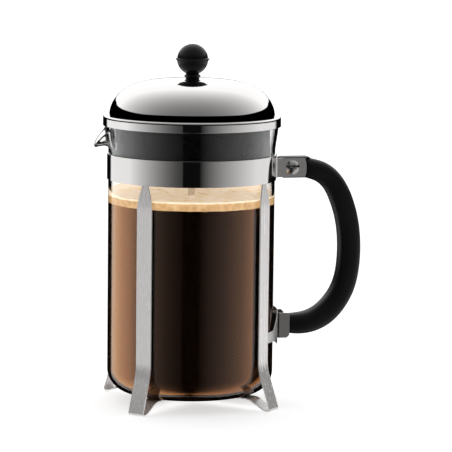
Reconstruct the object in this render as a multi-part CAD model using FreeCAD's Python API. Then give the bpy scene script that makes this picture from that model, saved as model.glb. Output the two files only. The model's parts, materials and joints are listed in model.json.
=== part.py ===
"""French press: glass beaker in a steel strap frame, with a lid and a plunger.

Frame: origin on the beaker's axis in the table's plane, +Z up, +X towards the handle,
so the spout points along -X and the four legs stand at 45 degrees to the X axis.
All sizes are in millimetres.
"""
import FreeCAD, Part
import math
import os

V = FreeCAD.Vector
Z_AXIS = V(0, 0, 1)
ORIGIN = V(0, 0, 0)

# ---- driving dimensions ----------------------------------------------------
# Glass beaker
GLASS_R = 58.8             # outer radius of the straight wall
GLASS_T = 2.0              # wall thickness
GLASS_FLOOR_T = 2.6
GLASS_Z0 = 7.7             # underside of the beaker above the table
GLASS_CORNER_R = 15.0      # outer radius between wall and floor
RIM_Z = 199.6              # top of the rim
RIM_MID_R = 59.9           # middle of the flared rim
RIM_HALF_T = 1.1
FLARE_Z0 = 177.5           # the wall starts to flare here
SPOUT_HALF_DEG = 14.0      # the spout takes this much of the rim each side of -X
SPOUT_TIP_R = 70.3
SPOUT_TIP_Z = 182.8
SPOUT_SECTIONS = 8         # wall sections on each side of the spout's middle
JOIN_TOLERANCE = 0.01      # lofted and turned walls are joined within this

# Steel frame
BAND_R = 59.65             # outer radius of the clamping band
BAND_T = 0.8
BAND_Z0 = 158.7
BAND_Z1 = 176.8
EAR_Y = 6.9                # outer face of each ear, from the middle plane
EAR_X = 82.4               # far end of the ears
EAR_Z0 = 159.4
EAR_Z1 = 172.8
EAR_BEND_R = 2.5           # middle radius of the bend between band and ear
EAR_END_R = 19.0           # the ear's end is a shallow arc
LEG_W = 12.0
LEG_T = 1.0
LEG_R = 60.7               # outer face of the straight part of a leg
NECK_W = 5.4               # width where a leg meets the band
NECK_Z = 157.4             # the shoulders start below this height
SHOULDER_Z = 144.0         # the leg has its full width below this height
SHOULDER_OUT = 2.0         # how far the shoulder has widened at half its height
SPLAY_Z = 29.0             # a leg leans outwards below this height
SPLAY_BEND_R = 40.0
FOOT_R = 69.8              # corner of the folded foot
FOOT_FOLD_R = 1.0
FOOT_FLAT_R = 64.6         # the foot is flat on the table from here to the fold
RISE_R = 53.0              # the strap is level under the beaker inside this radius
STRAP_Z = 7.1              # middle of the level strap
JOGGLE_DROP = 1.0          # the lower strap dips this much under the upper one
JOGGLE_IN = 9.5
JOGGLE_OUT = 13.0
RIVET_R = 1.5
RIVET_HEAD_R = 3.5
RIVET_HEAD_H = 1.1
LEG_AZIMUTHS = {"leg_strap_upper": 45.0, "leg_strap_lower": -45.0}

# Handle, its bolt and its lower bracket
BOLT_X = 72.0
BOLT_Z = 166.1
BOLT_R = 2.5
BOLT_HEAD_R = 5.2
BOLT_HEAD_H = 2.4
NUT_R = 5.4
NUT_H = 4.2
WASHER_R = 6.2
WASHER_T = 0.8
TONGUE_HALF_Y = 5.95
TONGUE_Z0 = 158.8
TONGUE_Z1 = 173.4
TONGUE_X0 = 63.2
BOLT_HOLE_R = 2.6
GRIP_X0 = 82.7             # the full handle section starts past the ears
GRIP_HALF_Y = 9.0
# middle line of the handle in the XZ plane, and its thickness there
GRIP_LINE = [
    (82.7, 166.1, 14.6), (92.5, 163.0, 15.0), (102.6, 155.6, 15.2), (108.7, 145.3, 15.6),
    (112.5, 135.0, 15.7), (115.2, 123.0, 15.8), (116.4, 108.0, 15.9), (115.5, 92.0, 15.9),
    (112.3, 79.0, 16.0), (105.8, 67.6, 16.3), (95.8, 58.2, 16.3), (85.0, 53.9, 15.6),
    (74.0, 53.2, 14.4), (63.6, 53.2, 14.2),
]
GRIP_HALF_Y_ENDS = (7.8, 8.0)
GRIP_END_Z = 53.2          # height of the handle's lower end and its screw
GRIP_SQUARENESS = 2.7      # exponent of the handle's superellipse section
BRIDGE_T = 0.7
BRIDGE_END_AZ = 49.0       # the bridge plate's ends lie behind the legs
BRIDGE_END_R = 59.3        # middle radius of the plate behind a leg
BRIDGE_BULGE = 2.6         # the plate stands out this much more in the middle
BRIDGE_BULGE_AZ = (10.0, 44.0)
BRIDGE_STEP_AZ = 3.5
BRIDGE_END_Z = (45.4, 53.0)
BRIDGE_MID_Z = (41.0, 65.8)
WINDOW_HALF_Y = 9.05
WINDOW_Z = (44.1, 62.3)
CLIP_T = 0.8
CLIP_HALF_Y = 8.95
CLIP_X = (60.4, 63.2, 70.8)   # web, bend line and free end of the clip
CLIP_Z = (44.2, 62.2)
CLIP_WEB_HALF_Y = 5.2
CLIP_CORNER = 2.0
CLIP_SCREW_R = 1.75
CLIP_SCREW_HEAD_R = 3.1
CLIP_SCREW_LENGTH = 12.0

# Lid
DOME_R = 58.3
DOME_Z1 = 229.2
DOME_POWER = 3.67
DOME_SHOULDER = 0.528
DOME_T = 0.8
FLANGE_R = 62.65
FLANGE_Z0 = 196.4
FLANGE_Z1 = 203.5          # the dome stands on the flange at this height
FLANGE_EDGE_R = 1.8
FLANGE_T = 0.75
COLLAR_R = 55.0
COLLAR_T = 1.5
COLLAR_Z0 = 164.5
LEDGE_R = 60.8
LEDGE_Z0 = 199.65
LEDGE_Z1 = FLANGE_Z1 - FLANGE_T
SPLASH_R = 57.0
SPLASH_T = 0.8
SPLASH_SLOTS = 12
STEM_R = 4.0
BUSHING_BORE_R = 2.55
BUSHING_R = 4.9
BUSHING_Z0 = 229.2
BUSHING_Z1 = 229.8
LID_NUT_R = 8.0
LID_NUT_H = 3.2
DOME_HOLE_R = 4.1

# Plunger
ROD_R = 2.5
ROD_Z0 = 17.0
ROD_Z1 = 244.0
BALL_R = 10.9
BALL_Z = 242.9
RIDGE_R = 12.0
RIDGE_Z = 243.4
KNOB_NECK_R = 4.4
KNOB_BEAD_R = 5.95
KNOB_BEAD_Z = 230.9
KNOB_FOOT_R = 4.9
KNOB_Z0 = 229.9
INSERT_R = 3.8
INSERT_Z0 = 236.0
FILTER_Z0 = 22.8           # underside of the mesh filter
FILTER_R = 56.4
FILTER_T = 0.5
FILTER_RIM_H = 5.7
CROSS_R = 50.0
CROSS_T = 0.8
SPIRAL_R = 54.4
SPIRAL_T = 0.8
SPRING_R = 54.15           # middle radius of the coil spring round the filter
SPRING_WIRE_R = 1.55       # outside radius of the coil
HUB_R = 5.5
HUB_Z0 = 15.2
SHOULDER_NUT_R = 5.2
SHOULDER_NUT_H = 4.0


# ---- helpers -----------------------------------------------------------------
def cylinder(radius, z0, z1, x=0.0, y=0.0):
    return Part.makeCylinder(radius, z1 - z0, V(x, y, z0), Z_AXIS)


def ring(r_out, r_in, z0, z1):
    return cylinder(r_out, z0, z1).cut(cylinder(r_in, z0 - 1, z1 + 1))


def box(x0, x1, y0, y1, z0, z1):
    return Part.makeBox(x1 - x0, y1 - y0, z1 - z0, V(x0, y0, z0))


def around_z(shape, degrees):
    turned = shape.copy()
    turned.rotate(ORIGIN, Z_AXIS, degrees)
    return turned


def line(a, b):
    return Part.LineSegment(a, b).toShape()


def arc(a, middle, b):
    return Part.Arc(a, middle, b).toShape()


def bezier(*poles):
    curve = Part.BezierCurve()
    curve.setPoles(list(poles))
    return curve.toShape()


def smooth(points, closed=False):
    curve = Part.BSplineCurve()
    if closed:
        curve.interpolate(points, PeriodicFlag=True)
    else:
        curve.interpolate(points)
    return curve.toShape()


def revolve(edges, start=0.0, sweep=360.0):
    """Turn a closed outline in the XZ plane about the Z axis."""
    face = Part.Face(Part.Wire(edges))
    face.rotate(ORIGIN, Z_AXIS, start)
    return face.revolve(ORIGIN, Z_AXIS, sweep)


def polygon(points):
    return [line(points[i], points[(i + 1) % len(points)]) for i in range(len(points))]


def rz(radius, z):
    return V(radius, 0, z)


def one_solid(shape):
    """The only solid of a shape, cleaned of leftover seams."""
    solids = shape.removeSplitter().Solids
    assert len(solids) == 1, len(solids)
    return solids[0]


def strip_outline(path, radii, thickness):
    """Outline of a bent sheet strip in the XZ plane, from its middle line and bend radii."""
    half = thickness / 2
    forward = []
    backward = []
    points = [V(x, 0, z) for x, z in path]
    directions = [(points[i + 1] - points[i]).normalize() for i in range(len(points) - 1)]
    for side, edges in ((1, forward), (-1, backward)):
        here = points[0] + normal(directions[0]) * (side * half)
        for i in range(1, len(points) - 1):
            before, after = directions[i - 1], directions[i]
            turn = math.atan2(before.x * after.z - before.z * after.x, before.dot(after))
            reach = radii[i - 1] * math.tan(abs(turn) / 2)
            sign = 1 if turn > 0 else -1
            start = points[i] - before * reach
            centre = start + normal(before) * (sign * radii[i - 1])
            radius = radii[i - 1] - side * sign * half
            a = centre - normal(before) * (sign * radius)
            b = centre - normal(after) * (sign * radius)
            middle = centre - (normal(before) + normal(after)).normalize() * (sign * radius)
            edges.append(line(here, a))
            edges.append(arc(a, middle, b))
            here = b
        end = points[-1] + normal(directions[-1]) * (side * half)
        edges.append(line(here, end))
    first = forward[0].Vertexes[0].Point
    last = forward[-1].Vertexes[-1].Point
    far = backward[-1].Vertexes[-1].Point
    near = backward[0].Vertexes[0].Point
    return Part.Wire(Part.__sortEdges__(forward + backward + [line(first, near), line(last, far)]))


def normal(direction):
    """Left-hand normal of a direction in the XZ plane."""
    return V(-direction.z, 0, direction.x)


def hexagonal(radius, z0, z1):
    """Hexagonal prism about the Z axis; radius is to its corners."""
    corners = [around_z(Part.Vertex(rz(radius, z0)), 60 * k).Point for k in range(6)]
    return Part.Face(Part.makePolygon(corners + [corners[0]])).extrude(V(0, 0, z1 - z0))


# ---- glass beaker ------------------------------------------------------------
def mix(a, b, share):
    return a + (b - a) * share


def rim_middle(share):
    """Middle of the rim: share 0 on the plain rim, 1 at the spout's tip."""
    a = V(RIM_MID_R, 0, RIM_Z)
    b = V(RIM_MID_R - 0.2, 0, RIM_Z - 6.1)
    c = V(SPOUT_TIP_R - 3.3, 0, RIM_Z - 8.1)
    d = V(SPOUT_TIP_R, 0, SPOUT_TIP_Z)
    rest = 1 - share
    return a * rest ** 3 + b * (3 * share * rest ** 2) + c * (3 * share ** 2 * rest) + d * share ** 3


def wall_section(share):
    """Edges of the wall above FLARE_Z0 in the XZ plane."""
    middle = rim_middle(share)
    lean = math.radians(mix(90.0, -10.0, share))
    ahead = V(math.cos(lean), 0, math.sin(lean))
    inward = V(-math.sin(lean), 0, math.cos(lean))
    outer_end = middle - ahead - inward * RIM_HALF_T
    inner_end = middle - ahead + inward * RIM_HALF_T
    reach = mix(6.5, 5.5, share)
    outer_start = rz(GLASS_R, FLARE_Z0)
    inner_start = rz(GLASS_R - GLASS_T, FLARE_Z0)
    outer_up = rz(mix(GLASS_R, GLASS_R + 0.1, share), mix(FLARE_Z0 + 6.5, FLARE_Z0 + 7.0, share))
    inner_up = rz(mix(GLASS_R - GLASS_T, GLASS_R - 1.8, share), mix(FLARE_Z0 + 6.5, FLARE_Z0 + 10.0, share))
    return [
        bezier(outer_start, outer_up, outer_end - ahead * reach, outer_end),
        arc(outer_end, middle, inner_end),
        bezier(inner_end, inner_end - ahead * reach, inner_up, inner_start),
        line(inner_start, outer_start),
    ]


def make_beaker():
    z_in = GLASS_Z0 + GLASS_FLOOR_T
    r_in = GLASS_R - GLASS_T
    corner_in = GLASS_CORNER_R - GLASS_T
    half = math.sqrt(0.5)
    outer = GLASS_R - GLASS_CORNER_R
    inner = r_in - corner_in
    lower = revolve([
        line(rz(0, GLASS_Z0), rz(outer, GLASS_Z0)),
        arc(rz(outer, GLASS_Z0),
            rz(outer + GLASS_CORNER_R * half, GLASS_Z0 + GLASS_CORNER_R * (1 - half)),
            rz(GLASS_R, GLASS_Z0 + GLASS_CORNER_R)),
        line(rz(GLASS_R, GLASS_Z0 + GLASS_CORNER_R), rz(GLASS_R, FLARE_Z0)),
        line(rz(GLASS_R, FLARE_Z0), rz(r_in, FLARE_Z0)),
        line(rz(r_in, FLARE_Z0), rz(r_in, z_in + corner_in)),
        arc(rz(r_in, z_in + corner_in),
            rz(inner + corner_in * half, z_in + corner_in * (1 - half)),
            rz(inner, z_in)),
        line(rz(inner, z_in), rz(0, z_in)),
        line(rz(0, z_in), rz(0, GLASS_Z0)),
    ])
    rim = revolve(wall_section(0.0), 180 + SPOUT_HALF_DEG, 360 - 2 * SPOUT_HALF_DEG)
    sections = []
    for k in range(-SPOUT_SECTIONS, SPOUT_SECTIONS + 1):
        away = k / SPOUT_SECTIONS
        section = Part.Wire(wall_section((1 + math.cos(math.pi * away)) / 2))
        section.rotate(ORIGIN, Z_AXIS, 180 + SPOUT_HALF_DEG * away)
        sections.append(section)
    spout = Part.makeLoft(sections, True, False)
    return one_solid(lower.fuse([rim, spout], JOIN_TOLERANCE))


# ---- steel frame ---------------------------------------------------------------
def make_band():
    """Split band whose two ends are bent outwards into the ears that hold the handle."""
    mid_r = BAND_R - BAND_T / 2
    mid_y = EAR_Y - BAND_T / 2
    bend_y = mid_y + EAR_BEND_R
    bend_x = math.sqrt((mid_r + EAR_BEND_R) ** 2 - bend_y ** 2)
    start = math.atan2(bend_y, bend_x)
    outline = []
    for radius, bend in ((BAND_R, EAR_BEND_R - BAND_T / 2), (BAND_R - BAND_T, EAR_BEND_R + BAND_T / 2)):
        ends = []
        for side in (1, -1):
            on_ring = V(radius * math.cos(start), side * radius * math.sin(start), 0)
            on_ear = V(bend_x, side * (bend_y - bend), 0)
            toward = (V(bend_x, side * bend_y, 0) - on_ring).normalize() + V(0, side, 0)
            middle = V(bend_x, side * bend_y, 0) - toward.normalize() * bend
            end = V(EAR_X, side * (bend_y - bend), 0)
            outline.append(arc(on_ring, middle, on_ear))
            outline.append(line(on_ear, end))
            ends.append((on_ring, end))
        outline.append(arc(ends[0][0], V(-radius, 0, 0), ends[1][0]))
    for side in (1, -1):
        outline.append(line(V(EAR_X, side * EAR_Y, 0), V(EAR_X, side * (EAR_Y - BAND_T), 0)))
    face = Part.Face(Part.Wire(Part.__sortEdges__(outline)))
    band = face.extrude(V(0, 0, BAND_Z1 - BAND_Z0))
    band.translate(V(0, 0, BAND_Z0))
    ear_from = bend_x - 0.6
    band = band.cut(box(ear_from, EAR_X + 1, -12, 12, EAR_Z1, BAND_Z1 + 1))
    band = band.cut(box(ear_from, EAR_X + 1, -12, 12, BAND_Z0 - 1, EAR_Z0))
    kept_end = Part.makeCylinder(EAR_END_R, 30, V(EAR_X - EAR_END_R, -15, BOLT_Z), V(0, 1, 0))
    trimmed_end = box(EAR_X - 4, EAR_X + 1, -12, 12, EAR_Z0 - 1, EAR_Z1 + 1).cut(kept_end)
    hole = Part.makeCylinder(BOLT_HOLE_R, 30, V(BOLT_X, -15, BOLT_Z), V(0, 1, 0))
    return one_solid(band.cut(trimmed_end).cut(hole))


def make_leg_strap(azimuth, joggled):
    """One strap: down a leg, round its foot, across under the beaker and up the opposite leg."""
    mid = LEG_R - LEG_T / 2
    top = BAND_R - BAND_T + LEG_T / 2
    half = LEG_T / 2
    leg = [(top, BAND_Z0 + 1), (mid, SHOULDER_Z), (mid, SPLAY_Z), (FOOT_R, half),
           (FOOT_FLAT_R, half), (RISE_R, STRAP_Z)]
    bends = [60.0, SPLAY_BEND_R, FOOT_FOLD_R, 10.0, 12.0]
    if joggled:
        leg += [(JOGGLE_OUT, STRAP_Z), (JOGGLE_IN, STRAP_Z - JOGGLE_DROP)]
        bends += [2.0, 2.0]
    path = leg + [(-x, z) for x, z in reversed(leg)]
    strip = Part.Face(strip_outline(path, bends + bends[::-1], LEG_T))
    strip = strip.extrude(V(0, LEG_W, 0))
    strip.translate(V(0, -LEG_W / 2, 0))
    neck = NECK_W / 2
    full = LEG_W / 2
    low = -5.0
    shoulder = (neck + SHOULDER_OUT, (SHOULDER_Z + NECK_Z) / 2)
    front = [
        line(V(0, -full, low), V(0, full, low)),
        line(V(0, full, low), V(0, full, SHOULDER_Z)),
        arc(V(0, full, SHOULDER_Z), V(0, *shoulder), V(0, neck, NECK_Z)),
        line(V(0, neck, NECK_Z), V(0, neck, BAND_Z0)),
        line(V(0, neck, BAND_Z0), V(0, -neck, BAND_Z0)),
        line(V(0, -neck, BAND_Z0), V(0, -neck, NECK_Z)),
        arc(V(0, -neck, NECK_Z), V(0, -shoulder[0], shoulder[1]), V(0, -full, SHOULDER_Z)),
        line(V(0, -full, SHOULDER_Z), V(0, -full, low)),
    ]
    profile = Part.Face(Part.Wire(front)).extrude(V(200, 0, 0))
    profile.translate(V(-100, 0, 0))
    strap = strip.common(profile)
    strap = strap.cut(cylinder(RIVET_R, 0, 20))
    return around_z(one_solid(strap), azimuth)


def make_base_rivet():
    """Rivet through both straps where they cross under the beaker."""
    under = STRAP_Z - JOGGLE_DROP - LEG_T / 2
    shank = cylinder(RIVET_R, under - 0.1, STRAP_Z + LEG_T / 2)
    head = cylinder(RIVET_HEAD_R, under - RIVET_HEAD_H, under)
    head = head.makeFillet(0.6, [e for e in head.Edges if e.BoundBox.ZMax < under - 1.0])
    return one_solid(shank.fuse(head))


# ---- handle and its fixings ------------------------------------------------------
def grip_section(at, along, thickness, half_y):
    """Rounded section of the handle, square to its middle line."""
    across = normal(along)
    points = []
    count = 20
    for k in range(count):
        angle = 2 * math.pi * k / count
        c, s = math.cos(angle), math.sin(angle)
        u = math.copysign(abs(c) ** (2 / GRIP_SQUARENESS), c) * thickness / 2
        v = math.copysign(abs(s) ** (2 / GRIP_SQUARENESS), s) * half_y
        points.append(at + across * u + V(0, v, 0))
    return Part.Wire(smooth(points, closed=True))


def make_handle():
    points = [V(x, 0, z) for x, z, _ in GRIP_LINE]
    sections = []
    last = len(points) - 1
    for k, at in enumerate(points):
        along = (points[min(k + 1, last)] - points[max(k - 1, 0)]).normalize()
        if k in (0, last, last - 1):
            along = V(1, 0, 0) if k == 0 else V(-1, 0, 0)
        half_y = GRIP_HALF_Y
        if k == 0:
            half_y = GRIP_HALF_Y_ENDS[0]
        if k >= last - 1:
            half_y = GRIP_HALF_Y_ENDS[1]
        sections.append(grip_section(at, along, GRIP_LINE[k][2], half_y))
    grip = Part.makeLoft(sections, True, False)
    tongue = box(TONGUE_X0, GRIP_X0 + 2, -TONGUE_HALF_Y, TONGUE_HALF_Y, TONGUE_Z0, TONGUE_Z1)
    corners = [e for e in tongue.Edges if abs(e.BoundBox.XMax - TONGUE_X0) < 0.01 and e.BoundBox.YLength > 1]
    tongue = tongue.makeFillet(3.0, corners)
    hole = Part.makeCylinder(BOLT_HOLE_R, 30, V(BOLT_X, -15, BOLT_Z), V(0, 1, 0))
    pilot = Part.makeCylinder(CLIP_SCREW_R, CLIP_SCREW_LENGTH, V(CLIP_X[0], 0, GRIP_END_Z), V(1, 0, 0))
    return one_solid(grip.fuse(tongue).cut(hole).cut(pilot))


def make_handle_bolt():
    """Bolt across the ears: domed head with a cross slot on the -Y side."""
    shank = Part.makeCylinder(BOLT_R, 2 * EAR_Y + WASHER_T + NUT_H, V(BOLT_X, -EAR_Y, BOLT_Z), V(0, 1, 0))
    dome_r = (BOLT_HEAD_R ** 2 + BOLT_HEAD_H ** 2) / (2 * BOLT_HEAD_H)
    ball = Part.makeSphere(dome_r, V(BOLT_X, -EAR_Y - BOLT_HEAD_H + dome_r, BOLT_Z))
    slab = box(BOLT_X - 9, BOLT_X + 9, -EAR_Y - BOLT_HEAD_H - 1, -EAR_Y, BOLT_Z - 9, BOLT_Z + 9)
    head = ball.common(slab)
    for angle in (0, 90):
        slot = box(BOLT_X - 2.6, BOLT_X + 2.6, -EAR_Y - 4, -EAR_Y - 0.9, BOLT_Z - 0.5, BOLT_Z + 0.5)
        slot.rotate(V(BOLT_X, 0, BOLT_Z), V(0, 1, 0), angle + 20)
        head = head.cut(slot)
    return one_solid(shank.fuse(head))


def make_handle_nut():
    """Acorn nut on the +Y side."""
    y0 = EAR_Y + WASHER_T
    body = hexagonal(NUT_R, 0, NUT_H)
    cap = Part.makeSphere(NUT_R - 0.9, V(0, 0, NUT_H - 0.3)).common(cylinder(NUT_R, NUT_H - 0.3, NUT_H + 6))
    nut = body.fuse(cap).cut(cylinder(BOLT_R, -1, NUT_H))
    nut.rotate(ORIGIN, V(1, 0, 0), -90)
    nut.translate(V(BOLT_X, y0, BOLT_Z))
    return one_solid(nut)


def make_nut_washer():
    washer = ring(WASHER_R, BOLT_HOLE_R, 0, WASHER_T)
    washer.rotate(ORIGIN, V(1, 0, 0), -90)
    washer.translate(V(BOLT_X, EAR_Y, BOLT_Z))
    return one_solid(washer)


def make_bridge_plate():
    """Curved plate between the two legs on the handle side, with a window for the clip."""
    steps = round(BRIDGE_END_AZ / BRIDGE_STEP_AZ)
    near, far = BRIDGE_BULGE_AZ
    outer = []
    inner = []
    for k in range(-steps, steps + 1):
        azimuth = k * BRIDGE_STEP_AZ
        share = min(1.0, max(0.0, (far - abs(azimuth)) / (far - near)))
        radius = BRIDGE_END_R + BRIDGE_BULGE * share * share * (3 - 2 * share)
        outer.append(around_z(Part.Vertex(rz(radius + BRIDGE_T / 2, 0)), azimuth).Point)
        inner.append(around_z(Part.Vertex(rz(radius - BRIDGE_T / 2, 0)), azimuth).Point)
    edges = [smooth(outer), smooth(inner), line(outer[0], inner[0]), line(outer[-1], inner[-1])]
    plate = Part.Face(Part.Wire(Part.__sortEdges__(edges))).extrude(V(0, 0, 80))
    low_end, high_end = BRIDGE_END_Z
    low_mid, high_mid = BRIDGE_MID_Z
    half_mid, half_neck, half_end = 13.0, 27.0, 60.0
    right = [(half_mid, low_mid), (half_neck, low_end), (half_end, low_end),
             (half_end, high_end), (half_neck, high_end), (half_mid, high_mid)]
    left = [(-y, z) for y, z in reversed(right)]
    outline = Part.makePolygon([V(0, y, z) for y, z in right + left + right[:1]])
    front = Part.Face(outline).extrude(V(100, 0, 0))
    plate = plate.common(front)
    window = box(50, 80, -WINDOW_HALF_Y, WINDOW_HALF_Y, WINDOW_Z[0], WINDOW_Z[1])
    return one_solid(plate.cut(window))


def make_handle_clip():
    """Sheet cup round the handle's lower end, let into the bridge plate's window."""
    web, bend, end = CLIP_X
    outer = [V(web, CLIP_WEB_HALF_Y, 0), V(bend, CLIP_HALF_Y, 0), V(end, CLIP_HALF_Y, 0)]
    inner = [V(web + CLIP_T, CLIP_WEB_HALF_Y - 0.35, 0), V(bend + 0.3, CLIP_HALF_Y - CLIP_T, 0),
             V(end, CLIP_HALF_Y - CLIP_T, 0)]
    loop = outer + inner[::-1]
    loop += [V(p.x, -p.y, 0) for p in inner] + [V(p.x, -p.y, 0) for p in outer[::-1]]
    clip = Part.Face(Part.makePolygon(loop + [loop[0]])).extrude(V(0, 0, CLIP_Z[1] - CLIP_Z[0]))
    clip.translate(V(0, 0, CLIP_Z[0]))
    for z, way in ((CLIP_Z[0], 1), (CLIP_Z[1], -1)):
        corner = Part.makePolygon([V(end + 0.1, 0, z - way), V(end + 0.1, 0, z + way * CLIP_CORNER),
                                   V(end - CLIP_CORNER, 0, z - way * 0.1), V(end + 0.1, 0, z - way)])
        cutter = Part.Face(corner).extrude(V(0, 40, 0))
        cutter.translate(V(0, -20, 0))
        clip = clip.cut(cutter)
    hole = Part.makeCylinder(CLIP_SCREW_R, 10, V(web - 2, 0, GRIP_END_Z), V(1, 0, 0))
    at = V(web, 0, GRIP_END_Z)
    sink = Part.makeCone(CLIP_SCREW_HEAD_R, CLIP_SCREW_HEAD_R - CLIP_T, CLIP_T, at, V(1, 0, 0))
    return one_solid(clip.cut(hole).cut(sink))


def make_clip_screw():
    """Countersunk screw that holds the clip to the handle's end."""
    at = V(CLIP_X[0], 0, GRIP_END_Z)
    head = Part.makeCone(CLIP_SCREW_HEAD_R, CLIP_SCREW_HEAD_R - CLIP_T, CLIP_T, at, V(1, 0, 0))
    shank = Part.makeCylinder(CLIP_SCREW_R, CLIP_SCREW_LENGTH, at, V(1, 0, 0))
    slot = box(CLIP_X[0] - 1, CLIP_X[0] + 0.4, -3.5, 3.5, GRIP_END_Z - 0.4, GRIP_END_Z + 0.4)
    return one_solid(head.fuse(shank).cut(slot))


# ---- lid -----------------------------------------------------------------------
def dome_height(radius, edge, base, top):
    """Height of the dome's skin: a gently rounded top and a steep edge."""
    return base + (top - base) * max(0.0, 1 - (radius / edge) ** DOME_POWER) ** DOME_SHOULDER


def dome_curve(edge, base, top):
    """Middle-to-edge curve of the dome from the bushing's hole, as one spline."""
    points = [rz(DOME_HOLE_R, dome_height(DOME_HOLE_R, edge, base, top))]
    steps = 18
    for k in range(1, steps + 1):
        share = 1 - (1 - k / steps) ** 2
        radius = mix(DOME_HOLE_R, edge, share)
        points.append(rz(radius, dome_height(radius, edge, base, top)))
    return smooth(points), points[0], points[-1]


def make_lid_dome():
    edge_r = FLANGE_EDGE_R
    skirt_in = FLANGE_R - FLANGE_T
    corner_r = FLANGE_R - edge_r
    corner_z = FLANGE_Z1 - edge_r
    roll_z = FLANGE_Z0 + FLANGE_T / 2
    half = math.sqrt(0.5)
    inner_edge = edge_r - FLANGE_T
    outer, outer_top, outer_end = dome_curve(DOME_R, FLANGE_Z1, DOME_Z1)
    inner, inner_top, inner_end = dome_curve(DOME_R - DOME_T, FLANGE_Z1 - FLANGE_T, DOME_Z1 - DOME_T)
    edges = [
        outer,
        line(outer_end, rz(corner_r, FLANGE_Z1)),
        arc(rz(corner_r, FLANGE_Z1), rz(corner_r + edge_r * half, corner_z + edge_r * half),
            rz(FLANGE_R, corner_z)),
        line(rz(FLANGE_R, corner_z), rz(FLANGE_R, roll_z)),
        arc(rz(FLANGE_R, roll_z), rz(FLANGE_R - FLANGE_T / 2, FLANGE_Z0), rz(skirt_in, roll_z)),
        line(rz(skirt_in, roll_z), rz(skirt_in, corner_z)),
        arc(rz(skirt_in, corner_z), rz(corner_r + inner_edge * half, corner_z + inner_edge * half),
            rz(corner_r, FLANGE_Z1 - FLANGE_T)),
        line(rz(corner_r, FLANGE_Z1 - FLANGE_T), inner_end),
        inner,
        line(inner_top, outer_top),
    ]
    return one_solid(revolve(Part.__sortEdges__(edges)))


def make_lid_collar():
    """Dark inner collar: a ledge that rests on the rim and a skirt that centres the lid."""
    inner = COLLAR_R - COLLAR_T
    ledge = ring(LEDGE_R, inner, LEDGE_Z0, LEDGE_Z1)
    skirt = ring(COLLAR_R, inner, COLLAR_Z0, LEDGE_Z0 + 0.5)
    return one_solid(ledge.fuse(skirt))


def make_splash_plate():
    """Plate with pouring slots that closes the lid from below and guides the rod's sleeve."""
    plate = cylinder(SPLASH_R, LEDGE_Z1, LEDGE_Z1 + SPLASH_T)
    plate = plate.cut(cylinder(STEM_R, LEDGE_Z1 - 1, LEDGE_Z1 + 2))
    for k in range(SPLASH_SLOTS):
        slot = box(34, 50, -1.6, 1.6, LEDGE_Z1 - 1, LEDGE_Z1 + 2)
        plate = plate.cut(around_z(slot, 360 * k / SPLASH_SLOTS))
    return one_solid(plate)


def make_rod_bushing():
    """Black bushing: small flange on the dome and a long sleeve down to the splash plate."""
    low = LEDGE_Z1 - LID_NUT_H
    bevel = 0.2
    edges = polygon([
        rz(BUSHING_BORE_R, low), rz(STEM_R, low), rz(STEM_R, BUSHING_Z0), rz(BUSHING_R, BUSHING_Z0),
        rz(BUSHING_R, BUSHING_Z1 - bevel), rz(BUSHING_R - bevel, BUSHING_Z1), rz(BUSHING_BORE_R, BUSHING_Z1),
    ])
    return one_solid(revolve(edges))


def make_lid_nut():
    """Nut on the sleeve that clamps the splash plate."""
    nut = hexagonal(LID_NUT_R, LEDGE_Z1 - LID_NUT_H, LEDGE_Z1)
    return one_solid(nut.cut(cylinder(STEM_R, LEDGE_Z1 - 5, LEDGE_Z1 + 1)))


# ---- plunger -------------------------------------------------------------------
def make_plunger_rod():
    rod = cylinder(ROD_R, ROD_Z0, ROD_Z1)
    return one_solid(rod)


def make_knob():
    """Ball knob with a fine ridge round its middle and a flared neck."""
    half = math.asin(KNOB_NECK_R / BALL_R)
    ball_low = BALL_Z - BALL_R * math.cos(half)
    outline = [
        line(rz(0, KNOB_Z0), rz(KNOB_FOOT_R, KNOB_Z0)),
        line(rz(KNOB_FOOT_R, KNOB_Z0), rz(KNOB_BEAD_R, KNOB_BEAD_Z)),
        arc(rz(KNOB_BEAD_R, KNOB_BEAD_Z), rz(KNOB_NECK_R + 0.45, (KNOB_BEAD_Z + ball_low) / 2 + 0.3),
            rz(KNOB_NECK_R, ball_low)),
        arc(rz(KNOB_NECK_R, ball_low), rz(BALL_R, BALL_Z), rz(0, BALL_Z + BALL_R)),
        line(rz(0, BALL_Z + BALL_R), rz(0, KNOB_Z0)),
    ]
    ball = revolve(outline)
    ridge = revolve(polygon([
        rz(0, RIDGE_Z - 1.8), rz(BALL_R - 0.4, RIDGE_Z - 1.8), rz(RIDGE_R, RIDGE_Z - 0.2),
        rz(RIDGE_R, RIDGE_Z + 0.1), rz(BALL_R - 0.3, RIDGE_Z + 0.4), rz(0, RIDGE_Z + 0.4),
    ]))
    knob = ball.fuse(ridge)
    knob = knob.cut(cylinder(ROD_R, KNOB_Z0 - 1, INSERT_Z0 + 0.1))
    knob = knob.cut(cylinder(INSERT_R, INSERT_Z0, ROD_Z1 + 1.5))
    return one_solid(knob)


def make_knob_insert():
    """Threaded metal insert moulded into the knob, on the rod's upper end."""
    insert = cylinder(INSERT_R, INSERT_Z0, ROD_Z1 + 1.5)
    return one_solid(insert.cut(cylinder(ROD_R, INSERT_Z0 - 1, ROD_Z1)))


def make_shoulder_nut():
    """Nut on the rod above the filter stack."""
    z0 = FILTER_Z0 + FILTER_T + SPIRAL_T
    nut = hexagonal(SHOULDER_NUT_R, z0, z0 + SHOULDER_NUT_H)
    return one_solid(nut.cut(cylinder(ROD_R, z0 - 1, z0 + 10)))


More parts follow.
